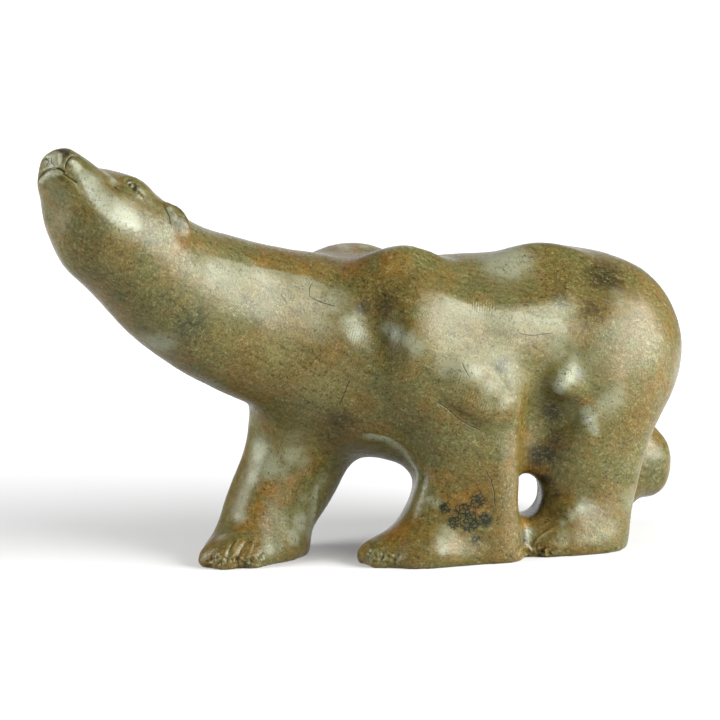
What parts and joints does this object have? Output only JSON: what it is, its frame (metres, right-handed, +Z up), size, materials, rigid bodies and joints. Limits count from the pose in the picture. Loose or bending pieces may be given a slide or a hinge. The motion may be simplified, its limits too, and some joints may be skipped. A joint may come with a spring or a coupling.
{
  "type": "bear sculpture",
  "caption": "Cast bronze polar bear, walking on flat paws with its long neck stretched up and forward and its head turned slightly to its left.",
  "frame": {"origin": "centre of the bounding box on the ground the soles stand on", "axes": "+Z up, -X the way the bear faces, -Y its left flank"},
  "size_m": [0.4188, 0.1244, 0.2389],
  "materials": {
    "patinated_bronze": "waxed brown and green patina, semi-gloss"
  },
  "bodies": {
    "root": {"polar_bear": "patinated_bronze"}
  },
  "joints": []
}
